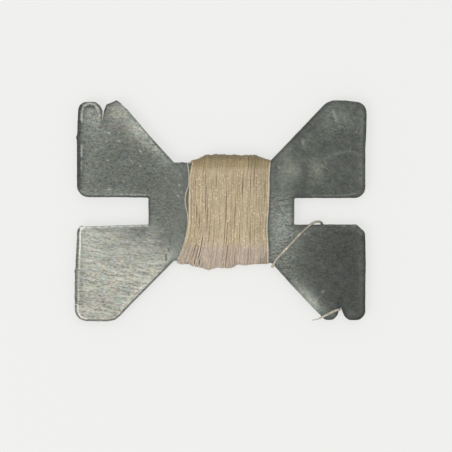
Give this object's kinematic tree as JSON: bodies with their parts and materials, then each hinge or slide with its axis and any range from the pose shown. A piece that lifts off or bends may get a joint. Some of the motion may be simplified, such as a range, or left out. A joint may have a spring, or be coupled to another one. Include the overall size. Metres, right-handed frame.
{
  "type": "wire winding card",
  "caption": "Flat bow-tie winding card of dark sheet metal, slotted at each end and notched at its lobes, with fine solder wire wound round its waist and a free lead hooked over one lobe.",
  "frame": {"origin": "under the card's middle, on the surface that the winding stands on", "axes": "+Z out of the card's front face, +X along its length to the end where the free lead is hooked, +Y towards the lobes on the side away from the wire's free end"},
  "size_m": [0.0726, 0.0553, 0.0055],
  "materials": {
    "card_metal": "dull dark grey sheet metal with a fine grain",
    "wire_metal": "satin tan wire"
  },
  "bodies": {
    "root": {"winding_card": "card_metal", "wire_core": "wire_metal", "wire_turns": "wire_metal", "wire_tail": "wire_metal"}
  },
  "joints": []
}
